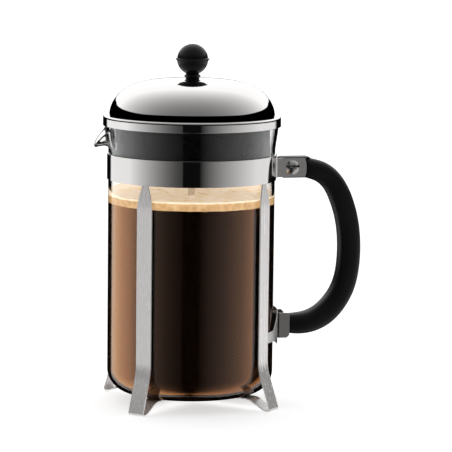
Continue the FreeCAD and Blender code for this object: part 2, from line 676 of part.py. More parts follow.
def make_spiral_plate():
    """Perforated plate on top of the mesh."""
    z0 = FILTER_Z0 + FILTER_T
    plate = cylinder(SPIRAL_R, z0, z0 + SPIRAL_T).cut(cylinder(ROD_R, z0 - 1, z0 + 3))
    for radius, count, hole_r in ((16.0, 8, 2.4), (27.0, 12, 3.0), (40.0, 16, 3.4)):
        for k in range(count):
            hole = cylinder(hole_r, z0 - 1, z0 + 3, radius)
            plate = plate.cut(around_z(hole, 360 * k / count))
    return one_solid(plate)


def make_mesh_filter():
    """Woven mesh disc with a turned-up rim."""
    disc = cylinder(FILTER_R, FILTER_Z0, FILTER_Z0 + FILTER_T)
    rim = ring(FILTER_R, FILTER_R - FILTER_T, FILTER_Z0, FILTER_Z0 + FILTER_RIM_H)
    return one_solid(disc.fuse(rim).cut(cylinder(ROD_R, FILTER_Z0 - 1, FILTER_Z0 + 2)))


def make_rim_spring():
    """Coil spring round the filter, closed into a ring; shown by its outside."""
    z = FILTER_Z0 + FILTER_T + SPIRAL_T + SPRING_WIRE_R + 0.15
    return one_solid(Part.makeTorus(SPRING_R, SPRING_WIRE_R, V(0, 0, z), Z_AXIS))


def make_cross_plate():
    """Bottom plate that carries the mesh on four spokes."""
    z0 = FILTER_Z0 - CROSS_T
    plate = cylinder(CROSS_R, z0, FILTER_Z0).cut(cylinder(ROD_R, z0 - 1, FILTER_Z0 + 1))
    window = ring(43.0, 13.0, z0 - 1, FILTER_Z0 + 1)
    for azimuth in (0, 90):
        window = window.cut(around_z(box(-60, 60, -5, 5, z0 - 2, FILTER_Z0 + 2), azimuth))
    return one_solid(plate.cut(window))


def make_filter_hub():
    """Screwed hub that closes the rod's lower end and carries the filter stack."""
    z1 = FILTER_Z0 - CROSS_T
    hub = cylinder(HUB_R, HUB_Z0, z1)
    hub = hub.makeFillet(1.0, [e for e in hub.Edges if e.BoundBox.ZMax < HUB_Z0 + 0.1])
    return one_solid(hub.cut(cylinder(ROD_R, ROD_Z0, z1 + 1)))


# ---- all nodes -------------------------------------------------------------------
NODES = {
    "frame_band": make_band,
    "leg_strap_upper": lambda: make_leg_strap(LEG_AZIMUTHS["leg_strap_upper"], False),
    "leg_strap_lower": lambda: make_leg_strap(LEG_AZIMUTHS["leg_strap_lower"], True),
    "base_rivet": make_base_rivet,
    "handle": make_handle,
    "handle_bolt": make_handle_bolt,
    "handle_nut": make_handle_nut,
    "nut_washer": make_nut_washer,
    "bridge_plate": make_bridge_plate,
    "handle_clip": make_handle_clip,
    "clip_screw": make_clip_screw,
    "beaker": make_beaker,
    "lid_dome": make_lid_dome,
    "lid_collar": make_lid_collar,
    "splash_plate": make_splash_plate,
    "rod_bushing": make_rod_bushing,
    "lid_nut": make_lid_nut,
    "plunger_rod": make_plunger_rod,
    "knob": make_knob,
    "knob_insert": make_knob_insert,
    "shoulder_nut": make_shoulder_nut,
    "spiral_plate": make_spiral_plate,
    "mesh_filter": make_mesh_filter,
    "rim_spring": make_rim_spring,
    "cross_plate": make_cross_plate,
    "filter_hub": make_filter_hub,
}

os.makedirs("parts", exist_ok=True)
for name, make in NODES.items():
    shape = make()
    assert shape.isValid(), name
    shape.exportStep("parts/" + name + ".step")
    bounds = shape.BoundBox
    print(f"{name:18s} volume {shape.Volume:10.1f}  x {bounds.XMin:7.2f} {bounds.XMax:7.2f}"
          f"  y {bounds.YMin:7.2f} {bounds.YMax:7.2f}  z {bounds.ZMin:7.2f} {bounds.ZMax:7.2f}")
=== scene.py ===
"""French press: looks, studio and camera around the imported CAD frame.

Outlines are (radius, height) points in millimetres; MM turns them into Blender's metres.
+Z is up along the plunger rod, +X points to the handle and -X to the spout.
"""
import json
import math

import bmesh
import bpy
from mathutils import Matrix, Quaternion, Vector, noise


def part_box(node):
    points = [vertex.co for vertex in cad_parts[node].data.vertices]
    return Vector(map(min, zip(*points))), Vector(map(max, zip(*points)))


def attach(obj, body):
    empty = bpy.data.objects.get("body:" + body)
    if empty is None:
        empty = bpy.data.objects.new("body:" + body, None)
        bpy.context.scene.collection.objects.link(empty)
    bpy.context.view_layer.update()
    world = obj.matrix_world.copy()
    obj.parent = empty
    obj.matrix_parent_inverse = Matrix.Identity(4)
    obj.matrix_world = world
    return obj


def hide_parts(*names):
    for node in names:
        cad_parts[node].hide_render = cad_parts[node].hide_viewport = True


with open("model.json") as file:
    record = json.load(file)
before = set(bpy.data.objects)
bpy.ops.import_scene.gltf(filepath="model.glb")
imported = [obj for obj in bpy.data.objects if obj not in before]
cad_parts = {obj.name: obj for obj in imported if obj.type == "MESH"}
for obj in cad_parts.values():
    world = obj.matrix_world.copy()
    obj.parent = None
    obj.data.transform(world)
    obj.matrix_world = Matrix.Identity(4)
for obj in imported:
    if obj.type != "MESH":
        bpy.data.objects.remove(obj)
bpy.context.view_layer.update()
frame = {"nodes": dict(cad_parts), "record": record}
MM = 0.001


def low(node):
    """Lowest corner of a CAD node in millimetres."""
    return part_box(node)[0] / MM


def high(node):
    """Highest corner of a CAD node in millimetres."""
    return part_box(node)[1] / MM


# ---- sizes, from the frame where a node gives them --------------------------------
GLASS_Z0 = low("beaker").z
RIM_Z = high("beaker").z
GLASS_R = 58.8
GLASS_T = 2.0
GLASS_FLOOR_T = 2.6
GLASS_CORNER_R = 15.0
RIM_MID_R = 59.9                # middle of the rounded rim
RIM_HALF_T = 1.1
FLARE_Z0 = 177.5                # the wall is upright below this height
SPOUT_HALF_DEG = 14.0
SPOUT_TIP_R = -low("beaker").x - 0.35
SPOUT_TIP_Z = RIM_Z - 16.8
COFFEE_REACH = 0.05             # the liquid's skin lies this far inside the glass
COFFEE_R = GLASS_R - GLASS_T + COFFEE_REACH
COFFEE_Z = 142.4
FOAM_Z = 148.3
DOME_R = 58.3
DOME_Z1 = high("lid_dome").z
DOME_POWER = 3.67               # a higher number makes the dome's middle flatter
DOME_SHOULDER = 0.528           # a lower number makes its edge steeper
LID_SHEET = 0.8
FLANGE_R = high("lid_dome").x
FLANGE_Z0 = low("lid_dome").z
FLANGE_Z1 = FLANGE_Z0 + 7.1     # the dome stands on the flange at this height
BALL_R = 10.9
BALL_Z = high("knob").z - BALL_R


# ---- node helper -----------------------------------------------------------------
class Shader:
    """A material or world node tree that is built by short calls."""

    def __init__(self, tree):
        self.tree = tree
        tree.nodes.clear()

    def add(self, kind, inputs=None, **settings):
        node = self.tree.nodes.new(kind)
        for key, value in settings.items():
            setattr(node, key, value)
        for key, value in (inputs or {}).items():
            if isinstance(value, bpy.types.NodeSocket):
                self.tree.links.new(value, node.inputs[key])
            else:
                node.inputs[key].default_value = value
        return node

    def math(self, operation, *values):
        return self.add("ShaderNodeMath", dict(enumerate(values)), operation=operation).outputs[0]

    def dot(self, vector, axis):
        """Length of the vector along the axis."""
        node = self.add("ShaderNodeVectorMath", {0: vector, 1: axis}, operation="DOT_PRODUCT")
        return node.outputs["Value"]

    def between(self, value, low_in, high_in, low_out=0.0, high_out=1.0, smooth=False):
        """The value moved from one range to another and held at the new range's ends."""
        node = self.add("ShaderNodeMapRange", {0: value, 1: low_in, 2: high_in, 3: low_out, 4: high_out})
        node.interpolation_type = "SMOOTHSTEP" if smooth else "LINEAR"
        return node.outputs[0]

    def ramp(self, value, stops, interpolation="LINEAR"):
        node = self.add("ShaderNodeValToRGB", {0: value})
        node.color_ramp.interpolation = interpolation
        elements = node.color_ramp.elements
        while len(elements) < len(stops):
            elements.new(0.5)
        for element, (place, colour) in zip(elements, stops):
            element.position = place
            element.color = (*colour, 1)
        return node.outputs["Color"]

    def noise(self, vector, scale, detail=2.0, rough=0.5):
        node = self.add("ShaderNodeTexNoise", {"Vector": vector, "Scale": scale, "Detail": detail,
                                               "Roughness": rough})
        return node.outputs["Fac"]

    def bump(self, height, strength, distance):
        node = self.add("ShaderNodeBump", {"Height": height, "Strength": strength, "Distance": distance})
        return node.outputs["Normal"]

    def object_place(self):
        return self.add("ShaderNodeTexCoord").outputs["Object"]

    def stretched(self, scale):
        """Object coordinates scaled by a different factor on each axis."""
        node = self.add("ShaderNodeMapping", {"Vector": self.object_place(), "Scale": scale})
        return node.outputs["Vector"]

    def round_place(self, across, around):
        """Coordinates for a turned part: radius and height run fast, the way round runs slowly."""
        place = self.add("ShaderNodeSeparateXYZ", {0: self.object_place()}).outputs
        angle = self.math("ARCTAN2", place["Y"], place["X"])
        square = self.math("ADD", self.math("MULTIPLY", place["X"], place["X"]),
                           self.math("MULTIPLY", place["Y"], place["Y"]))
        radius = self.math("SQRT", square)
        return self.add("ShaderNodeCombineXYZ", {
            0: self.math("MULTIPLY", radius, across),
            1: self.math("MULTIPLY", angle, around),
            2: self.math("MULTIPLY", place["Z"], across),
        }).outputs[0]

    def finish(self, inputs):
        surface = self.add("ShaderNodeBsdfPrincipled", inputs)
        self.add("ShaderNodeOutputMaterial", {"Surface": surface.outputs[0]})


def grey(value):
    return (value, value, value)


def darker(colour, share):
    return tuple(share * part for part in colour)


def new_material(name):
    material = bpy.data.materials.new(name)
    material.use_nodes = True
    return material, Shader(material.node_tree)


# ---- materials ---------------------------------------------------------------------
def polished_steel(name, tint=(0.72, 0.705, 0.69), rough=(0.045, 0.085)):
    """Mirror finish with faint turning marks and wipe marks."""
    material, s = new_material(name)
    marks = s.noise(s.round_place(900.0, 2.0), 1.0, 2.0)
    wipes = s.noise(s.object_place(), 28.0, 4.0, 0.6)
    colour = s.ramp(wipes, [(0.3, darker(tint, 0.965)), (0.7, tint)])
    s.finish({"Base Color": colour, "Metallic": 1.0,
              "Roughness": s.between(wipes, 0.35, 0.75, *rough),
              "Normal": s.bump(marks, 0.02, 0.0001)})
    return material


def satin_steel(name, scale, tint=(0.68, 0.665, 0.65), rough=(0.26, 0.36), metallic=1.0):
    """Brushed steel; scale is large across the brush lines and small along them.

    A blasted surface scatters part of the light, which a lower metallic share stands for."""
    material, s = new_material(name)
    brush = s.noise(s.stretched(scale), 1.0, 3.0, 0.6)
    cloud = s.noise(s.object_place(), 40.0, 2.0)
    mixed = s.math("ADD", s.math("MULTIPLY", brush, 0.7), s.math("MULTIPLY", cloud, 0.3))
    colour = s.ramp(mixed, [(0.3, darker(tint, 0.93)), (0.7, tint)])
    s.finish({"Base Color": colour, "Metallic": metallic,
              "Roughness": s.between(mixed, 0.3, 0.7, *rough),
              "Normal": s.bump(brush, 0.08, 0.0002)})
    return material


def moulded_plastic(name, tint, rough, grain, shine):
    """Black moulding with a fine spark-eroded grain."""
    material, s = new_material(name)
    fine = s.noise(s.object_place(), 2600.0, 2.0)
    cloud = s.noise(s.object_place(), 60.0, 3.0)
    spread = 0.04
    colour = s.ramp(cloud, [(0.35, darker(tint, 0.8)), (0.7, tint)])
    s.finish({"Base Color": colour,
              "Roughness": s.between(cloud, 0.3, 0.7, rough - spread, rough + spread),
              "Normal": s.bump(fine, grain, 0.0002), "Specular IOR Level": shine})
    return material


def clear_glass():
    """Heat-proof glass with the very slight waviness of a blown beaker."""
    material, s = new_material("borosilicate_glass")
    wave = s.noise(s.stretched((30.0, 30.0, 9.0)), 1.0, 1.0)
    s.finish({"Base Color": (0.985, 0.995, 0.99, 1), "Transmission Weight": 1.0, "IOR": 1.47,
              "Roughness": 0.0, "Normal": s.bump(wave, 0.03, 0.001)})
    return material


def coffee_liquid():
    """Black coffee; its gloss is tinted brown by a painted glow, faintly where it is seen square on, more at
    its edges and on its -X side.
    """
    material, s = new_material("black_coffee")
    cloud = s.noise(s.stretched((14.0, 14.0, 5.0)), 1.0, 3.0)
    place = s.add("ShaderNodeSeparateXYZ", {0: s.object_place()}).outputs
    facing = s.add("ShaderNodeLayerWeight", {"Blend": 0.5}).outputs["Facing"]
    half_width = 58.0 * MM
    # painted light: the liquid's -X side glows brighter and its +X side darker
    side = s.between(place["X"], -half_width, half_width, 1.0, 0.62, smooth=True)
    # painted glow: brown light through the thin coffee near its edges, set by the angle it is seen at
    painted_edge_glow = s.ramp(facing, [(0.0, grey(0.10)), (0.045, grey(0.13)), (0.113, grey(0.32)),
                           (0.145, grey(0.52)), (0.185, grey(0.74)), (0.245, grey(1.0))])
    uneven = s.between(cloud, 0.2, 0.8, 0.92, 1.08)
    glow = s.math("MULTIPLY", s.math("MULTIPLY", painted_edge_glow, side), uneven)
    # the painted glow tints the gloss brown
    shine = s.ramp(glow, [(0.0, grey(0.0)), (0.3, (0.263, 0.10, 0.03)), (0.7, (0.56, 0.217, 0.066)),
                          (0.85, (0.73, 0.32, 0.085)), (1.0, (1.0, 0.51, 0.21))])
    body = s.ramp(cloud, [(0.2, (0.004, 0.0018, 0.0008)), (0.8, (0.010, 0.004, 0.002))])
    s.finish({"Base Color": body, "Roughness": 0.09, "IOR": 6.7, "Specular Tint": shine})
    return material


def coffee_foam():
    """Fine tan foam: small bubbles between larger pale ones; it glows in its own colour, painted light."""
    material, s = new_material("coffee_foam")
    place = s.object_place()
    small = s.add("ShaderNodeTexVoronoi", {"Vector": place, "Scale": 900.0}).outputs["Distance"]
    large = s.add("ShaderNodeTexVoronoi", {"Vector": place, "Scale": 260.0}).outputs["Distance"]
    cloud = s.noise(place, 45.0, 4.0, 0.6)
    froth = s.math("ADD", s.math("MULTIPLY", large, 0.3), s.math("MULTIPLY", cloud, 0.3))
    height = s.add("ShaderNodeSeparateXYZ", {0: place}).outputs["Z"]
    top = s.between(height, (FOAM_Z - 1.6) * MM, (FOAM_Z - 0.4) * MM, 0.0, 0.5, smooth=True)
    shade = s.math("ADD", froth, top)
    colour = s.ramp(shade, [(0.0, (0.34, 0.18, 0.07)), (0.35, (0.56, 0.35, 0.16)),
                            (0.8, (0.87, 0.70, 0.52))])
    # painted light: the emission makes the foam glow though it is no lamp
    s.finish({"Base Color": colour, "Roughness": 0.6, "Subsurface Weight": 0.15,
              "Subsurface Radius": (0.004, 0.002, 0.001), "Normal": s.bump(small, 0.25, 0.0004),
              "Emission Color": colour, "Emission Strength": 0.85})
    return material


def woven_mesh():
    """Fine steel cloth: wires that cross in X and Y."""
    material, s = new_material("filter_cloth")
    place = s.add("ShaderNodeSeparateXYZ", {0: s.object_place()}).outputs
    phase_per_metre = 9000.0
    phases = [s.math("MULTIPLY", place[axis], phase_per_metre) for axis in "XY"]
    weave = s.math("MAXIMUM", *[s.math("ABSOLUTE", s.math("SINE", phase)) for phase in phases])
    colour = s.ramp(weave, [(0.55, (0.10, 0.10, 0.10)), (0.95, (0.62, 0.61, 0.59))])
    s.finish({"Base Color": colour, "Metallic": 1.0, "Roughness": s.between(weave, 0.5, 1.0, 0.55, 0.3),
              "Normal": s.bump(weave, 0.5, 0.0001)})
    return material


MATERIALS = {
    "band_steel": polished_steel("band_steel_polished"),
    "lid_steel": polished_steel("lid_steel_polished", (0.74, 0.73, 0.72), (0.02, 0.04)),
    "rod_steel": polished_steel("rod_steel_polished"),
    "strap_steel": satin_steel("strap_steel_satin", (700.0, 700.0, 14.0), (0.92, 0.895, 0.885),
                               (0.22, 0.30), 0.45),
    "bracket_steel": satin_steel("bracket_steel_satin", (60.0, 60.0, 900.0), rough=(0.3, 0.4)),
    "fastener_steel": satin_steel("fastener_steel_plated", (300.0, 300.0, 300.0), (0.60, 0.59, 0.58),
                                  (0.16, 0.24)),
    "inner_steel": satin_steel("inner_steel_satin", (500.0, 500.0, 500.0)),
    "filter_steel": satin_steel("filter_steel_satin", (400.0, 400.0, 400.0)),
    "handle_plastic": moulded_plastic("handle_moulding", (0.007, 0.007, 0.0075), 0.42, 0.12, 0.22),
    "knob_plastic": moulded_plastic("knob_moulding", (0.006, 0.006, 0.0065), 0.32, 0.06, 0.3),
    "bushing_plastic": moulded_plastic("bushing_moulding", (0.006, 0.006, 0.0065), 0.4, 0.06, 0.25),
    "collar_plastic": moulded_plastic("collar_moulding", (0.005, 0.0045, 0.0045), 0.25, 0.03, 0.2),
    "borosilicate": clear_glass(),
    "filter_mesh": woven_mesh(),
    "coffee": coffee_liquid(),
    "foam": coffee_foam(),
}
NODE_SLOT = {part["node"]: part["material_slot"] for part in frame["record"]["subparts"]}
NODE_BODY = {node: body for body, nodes in frame["record"]["behaviour"]["bodies"].items() for node in nodes}


# ---- mesh helpers -------------------------------------------------------------------
def make_object(name, verts, faces, material, sharp_deg=30.0):
    mesh = bpy.data.meshes.new(name)
    mesh.from_pydata(verts, [], faces)
    mesh.validate()
    mesh.shade_smooth()
    mesh.set_sharp_from_angle(angle=math.radians(sharp_deg))
    mesh.materials.append(material)
    obj = bpy.data.objects.new(name, mesh)
    bpy.context.scene.collection.objects.link(obj)
    return obj


def stands_for(obj, *nodes):
    """The piece rides on the nodes' body and is shown in their place, the nodes hidden."""
    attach(obj, NODE_BODY[nodes[0]])
    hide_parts(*nodes)


def mix(a, b, share):
    return a + (b - a) * share


def on_curve(a, b, c, d, share):
    """The point at this share of a cubic curve."""
    rest = 1 - share
    return a * rest ** 3 + b * (3 * share * rest ** 2) + c * (3 * share ** 2 * rest) + d * share ** 3


def curve_points(a, b, c, d, steps):
    """Points along a cubic curve, the last one left out."""
    return [on_curve(a, b, c, d, k / steps) for k in range(steps)]


def arc(centre, radius, start_deg, end_deg, steps):
    """Points on an arc, both ends included."""
    points = []
    for k in range(steps + 1):
        angle = math.radians(mix(start_deg, end_deg, k / steps))
        points.append(Vector((centre[0] + radius * math.cos(angle), centre[1] + radius * math.sin(angle))))
    return points


def eased(points, radii, steps=5):
    """A polyline whose inner corners are rounded; radii has one number for each point."""
    result = [Vector(points[0])]
    for k in range(1, len(points) - 1):
        here = Vector(points[k])
        before = Vector(points[k - 1]) - here
        after = Vector(points[k + 1]) - here
        radius = radii[k]
        if radius == 0:
            result.append(here)
            continue
        half = before.angle(after) / 2
        reach = min(radius / math.tan(half), 0.49 * before.length, 0.49 * after.length)
        start = here + before.normalized() * reach
        end = here + after.normalized() * reach
        for i in range(steps + 1):
            t = i / steps
            result.append(start * (1 - t) ** 2 + here * (2 * t * (1 - t)) + end * t * t)
    result.append(Vector(points[-1]))
    return result


def sweep_round(name, outlines, azimuths, material, closed=True, sharp_deg=30.0):
    """A skin through one (radius, height) outline for each azimuth, turned about the Z axis.

    An outline starts and ends on the axis, unless it is a closed loop."""
    verts = []
    rows = []
    poles = {}
    for outline, azimuth in zip(outlines, azimuths):
        c, s = math.cos(azimuth), math.sin(azimuth)
        row = []
        for k, (radius, height) in enumerate(outline):
            if abs(radius) < 1e-6:
                if k not in poles:
                    poles[k] = len(verts)
                    verts.append((0.0, 0.0, height * MM))
                row.append(poles[k])
                continue
            row.append(len(verts))
            verts.append((radius * c * MM, radius * s * MM, height * MM))
        rows.append(row)
    faces = []
    count = len(rows[0])
    spans = count if closed else count - 1
    for i, row in enumerate(rows):
        following = rows[(i + 1) % len(rows)]
        for k in range(spans):
            j = (k + 1) % count
            corners = [row[k], following[k], following[j], row[j]]
            face = [v for n, v in enumerate(corners) if v not in corners[:n]]
            if len(face) > 2:
                faces.append(face)
    return make_object(name, verts, faces, material, sharp_deg)


def lathe(name, outline, material, steps=192, closed=False, sharp_deg=30.0):
    """The same outline all the way round."""
    azimuths = [2 * math.pi * k / steps for k in range(steps)]
    return sweep_round(name, [outline] * steps, azimuths, material, closed, sharp_deg)


def softened(node, width, segments=2, sharp_deg=35.0):
    """A copy of a CAD node with its sharp edges broken, shown in the node's place."""
    bm = bmesh.new()
    bm.from_mesh(frame["nodes"][node].data)
    bmesh.ops.remove_doubles(bm, verts=bm.verts, dist=1e-6)
    bmesh.ops.dissolve_limit(bm, angle_limit=math.radians(0.05), verts=bm.verts, edges=bm.edges)
    bm.verts.index_update()
    verts = [v.co.copy() for v in bm.verts]
    faces = [[v.index for v in f.verts] for f in bm.faces]
    bm.free()
    obj = make_object(node + "_piece", verts, faces, MATERIALS[NODE_SLOT[node]], sharp_deg)
    bevel = obj.modifiers.new("broken_edges", "BEVEL")
    bevel.limit_method = "ANGLE"
    bevel.angle_limit = math.radians(sharp_deg)
    bevel.width = width * MM
    bevel.segments = segments
    bevel.harden_normals = True
    stands_for(obj, node)


# ---- glass beaker, coffee and foam -----------------------------------------------------
def glass_rim(share):
    """Wall above the straight part: share 0 on the plain rim, 1 in the middle of the spout."""
    wall_steps = 20
    rim_steps = 10
    # the rim's middle line runs from the plain rim out to the spout's tip
    middle = on_curve(Vector((RIM_MID_R, RIM_Z)), Vector((RIM_MID_R - 0.2, RIM_Z - 6.1)),
                      Vector((SPOUT_TIP_R - 3.3, RIM_Z - 8.1)), Vector((SPOUT_TIP_R, SPOUT_TIP_Z)), share)
    # the glass ends upright on the plain rim and points a little downwards at the tip
    lean = math.radians(mix(90.0, -10.0, share))
    ahead = Vector((math.cos(lean), math.sin(lean)))
    inward = Vector((-math.sin(lean), math.cos(lean)))
    outer_end = middle - ahead - inward * RIM_HALF_T
    inner_end = middle - ahead + inward * RIM_HALF_T
    pull = mix(6.5, 5.5, share)
    outer_start = Vector((GLASS_R, FLARE_Z0))
    inner_start = Vector((GLASS_R - GLASS_T, FLARE_Z0))
    outer_pull = Vector((mix(GLASS_R, GLASS_R + 0.1, share), FLARE_Z0 + mix(6.5, 7.0, share)))
    inner_pull = Vector((mix(GLASS_R - GLASS_T, GLASS_R - 1.8, share), FLARE_Z0 + mix(6.5, 10.0, share)))
    points = curve_points(outer_start, outer_pull, outer_end - ahead * pull, outer_end, wall_steps)
    for k in range(rim_steps):
        turn = math.pi * k / rim_steps
        points.append(middle - ahead + ahead * math.sin(turn) - inward * (RIM_HALF_T * math.cos(turn)))
    points += curve_points(inner_end, inner_end - ahead * pull, inner_pull, inner_start, wall_steps)
    return points + [inner_start]


def make_beaker():
    """Hollow beaker; the steps round it are finer where the spout is."""
    floor_z = GLASS_Z0 + GLASS_FLOOR_T
    corner_in = GLASS_CORNER_R - GLASS_T
    corner = GLASS_R - GLASS_CORNER_R
    outside = [Vector((0, GLASS_Z0)), Vector((corner / 2, GLASS_Z0))]
    outside += arc((corner, GLASS_Z0 + GLASS_CORNER_R), GLASS_CORNER_R, -90, 0, 16)
    inside = arc((corner, floor_z + corner_in), corner_in, 0, -90, 16)
    inside += [Vector((corner / 2, floor_z)), Vector((0, floor_z))]
    fine, coarse = 0.7, 2.0
    reach = SPOUT_HALF_DEG + fine
    first = 180 - reach
    azimuths = [first + fine * k for k in range(round(2 * reach / fine))]
    rest = 360 - 2 * reach
    count = round(rest / coarse)
    azimuths += [180 + reach + rest * k / count for k in range(count)]
    outlines = []
    for angle in azimuths:
        away = min(1.0, abs(angle - 180) / SPOUT_HALF_DEG)
        outlines.append(outside + glass_rim((1 + math.cos(math.pi * away)) / 2) + inside)
    turns = [math.radians(angle) for angle in azimuths]
    beaker = sweep_round("glass_beaker", outlines, turns, MATERIALS["borosilicate"], False, 60.0)
    stands_for(beaker, "beaker")


def make_coffee():
    """The drink fills the beaker; its skin lies in the glass, so that no gap shows."""
    floor_z = GLASS_Z0 + GLASS_FLOOR_T - COFFEE_REACH
    corner_r = GLASS_CORNER_R - GLASS_T + COFFEE_REACH
    corner_z = floor_z + corner_r
    top_z = COFFEE_Z + 0.1
    wall_steps = 6
    outline = [Vector((0, floor_z))]
    outline += arc((COFFEE_R - corner_r, corner_z), corner_r, -90, 0, 16)
    outline += [Vector((COFFEE_R, mix(corner_z, COFFEE_Z, k / wall_steps))) for k in range(1, wall_steps + 1)]
    outline += [Vector((COFFEE_R - 0.5, top_z)), Vector((0, top_z))]
    coffee = lathe("coffee", outline, MATERIALS["coffee"], 180)
    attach(coffee, "beaker")


def make_foam():
    """Foam with an uneven top that climbs where it meets the glass, most of all on the far side."""
    steps = 180
    rings = 40
    base_z = COFFEE_Z - 0.2
    top_z = FOAM_Z - 0.8
    near_climb, far_climb = 0.9, 4.6
    climb_width = 2.2
    shift = Vector((7, 3, 1))       # keeps the small lumps apart from the large ones
    outlines = []
    azimuths = [2 * math.pi * k / steps for k in range(steps)]
    for azimuth in azimuths:
        around = Vector((math.cos(azimuth), math.sin(azimuth), 0))
        lower_edge = 0.35 * noise.noise(around * 9)
        far = min(1.0, max(0.0, (around.y + 0.35) / 0.5))
        outline = [Vector((0, base_z)), Vector((COFFEE_R, base_z + lower_edge))]
        for k in range(rings):
            share = 1 - (k / rings) ** 1.3
            r = COFFEE_R * share
            lumps = 0.55 * noise.noise(around * (r * 0.16)) + 0.2 * noise.noise(around * (r * 0.55) + shift)
            calm = min(1.0, 6 * (1 - share) + 0.3)
            climb = mix(near_climb, far_climb, far) * max(0.0, 1 - (COFFEE_R - r) / climb_width) ** 2
            outline.append(Vector((r, top_z + lumps * calm + climb)))
        outline.append(Vector((0, top_z)))
        outlines.append(outline)
    foam = sweep_round("coffee_foam", outlines, azimuths, MATERIALS["foam"], False, 50.0)
    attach(foam, "beaker")


# ---- lid -------------------------------------------------------------------------------
def dome_height(radius, edge, base, top):
    """Height of the dome's skin: a gently rounded top and a steep edge."""
    return base + (top - base) * max(0.0, 1 - (radius / edge) ** DOME_POWER) ** DOME_SHOULDER


def make_lid():
    """Pressed sheet: dome, flat ledge and a short skirt with a rounded corner."""
    hole_r = 4.1
    dome_steps = 60
    crowding = 2.2                  # brings the steps closer together towards the steep edge
    corner_r = 1.8
    corner_steps = 14
    hem_r = 0.35
    under = FLANGE_Z1 - LID_SHEET
    inner_r = DOME_R - LID_SHEET
    skirt_r = FLANGE_R - LID_SHEET
    shares = [1 - (1 - k / dome_steps) ** crowding for k in range(dome_steps)]
    outer_radii = [mix(hole_r, DOME_R, share) for share in shares]
    inner_radii = [mix(hole_r, inner_r, share) for share in shares]
    outer = [Vector((r, dome_height(r, DOME_R, FLANGE_Z1, DOME_Z1))) for r in outer_radii]
    inner = [Vector((r, dome_height(r, inner_r, under, DOME_Z1 - LID_SHEET))) for r in inner_radii]
    flange = eased(
        [(DOME_R, FLANGE_Z1), (FLANGE_R, FLANGE_Z1), (FLANGE_R, FLANGE_Z0), (skirt_r, FLANGE_Z0),
         (skirt_r, under), (inner_r, under)],
        [0, corner_r, hem_r, hem_r, corner_r - LID_SHEET, 0], corner_steps)
    # keeps the side upright right up to the rounded corner
    flange.insert(corner_steps + 2, Vector((FLANGE_R, FLANGE_Z1 - corner_r - 0.1)))
    lid = lathe("lid_shell", outer + flange + inner[::-1], MATERIALS["lid_steel"], 256, True, 50.0)
    stands_for(lid, "lid_dome")


def make_collar():
    """Moulded ring: a ledge that rests on the beaker's rim and a skirt with a stepped end."""
    outer = high("lid_collar").x
    z0, z1 = low("lid_collar").z, high("lid_collar").z
    skirt = 55.0
    wall = 1.5
    step = 0.3
    step_z = z0 + 5.6
    ledge_z = z1 - 3.1
    outline = eased(
        [(skirt - wall / 2, z1), (outer - 0.1, z1), (outer, z1 - 0.3), (outer, ledge_z),
         (skirt + 0.8, ledge_z), (skirt, ledge_z - 1.2), (skirt, step_z + 0.4), (skirt - step, step_z),
         (skirt - step, z0 + 1.0), (skirt - 2 * step, z0), (skirt - wall, z0), (skirt - wall, z1),
         (skirt - wall / 2, z1)],
        [0, 0.2, 0.2, 0.2, 0.5, 0.8, 0.2, 0.2, 0.5, 0.4, 0.2, 0.2, 0], 4)[:-1]
    collar = lathe("lid_inner_collar", outline, MATERIALS["collar_plastic"], 192, True, 40.0)
    stands_for(collar, "lid_collar")


# ---- plunger -------------------------------------------------------------------------------
def make_knob():
    """Ball with a sharp ridge round it, on a waisted neck."""
    ridge_r = high("knob").x
    neck_r, bead_r, foot_r = 4.4, 5.95, 4.9
    foot_z = low("knob").z
    bead_z = foot_z + 1.0
    ridge_z = BALL_Z + 0.5
    ridge_z0, ridge_z1 = ridge_z - 1.75, ridge_z + 0.45
    neck_z = BALL_Z - math.sqrt(BALL_R ** 2 - neck_r ** 2)
    neck_deg = -math.degrees(math.acos(neck_r / BALL_R))
    below_deg = math.degrees(math.asin((ridge_z0 - BALL_Z) / BALL_R))
    above_deg = math.degrees(math.asin((ridge_z1 - BALL_Z) / BALL_R))
    outline = [Vector((0, foot_z))]
    outline += eased([(0, foot_z), (foot_r, foot_z), (bead_r, bead_z), (neck_r + 0.5, bead_z + 1.6),
                      (neck_r, neck_z)], [0, 0.4, 0.5, 2.0, 0], 6)[1:-1]
    outline += arc((0, BALL_Z), BALL_R, neck_deg, below_deg, 22)
    outline += eased([(BALL_R - 0.1, ridge_z0), (ridge_r - 0.1, ridge_z - 0.3), (ridge_r, ridge_z + 0.1),
                      (BALL_R, ridge_z1)], [0, 0.15, 0.15, 0], 3)[1:-1]
    outline += arc((0, BALL_Z), BALL_R, above_deg, 90, 30)[:-1]
    outline.append(Vector((0, BALL_Z + BALL_R)))
    knob = lathe("knob_piece", outline, MATERIALS["knob_plastic"], 128, False, 40.0)
    stands_for(knob, "knob", "knob_insert")


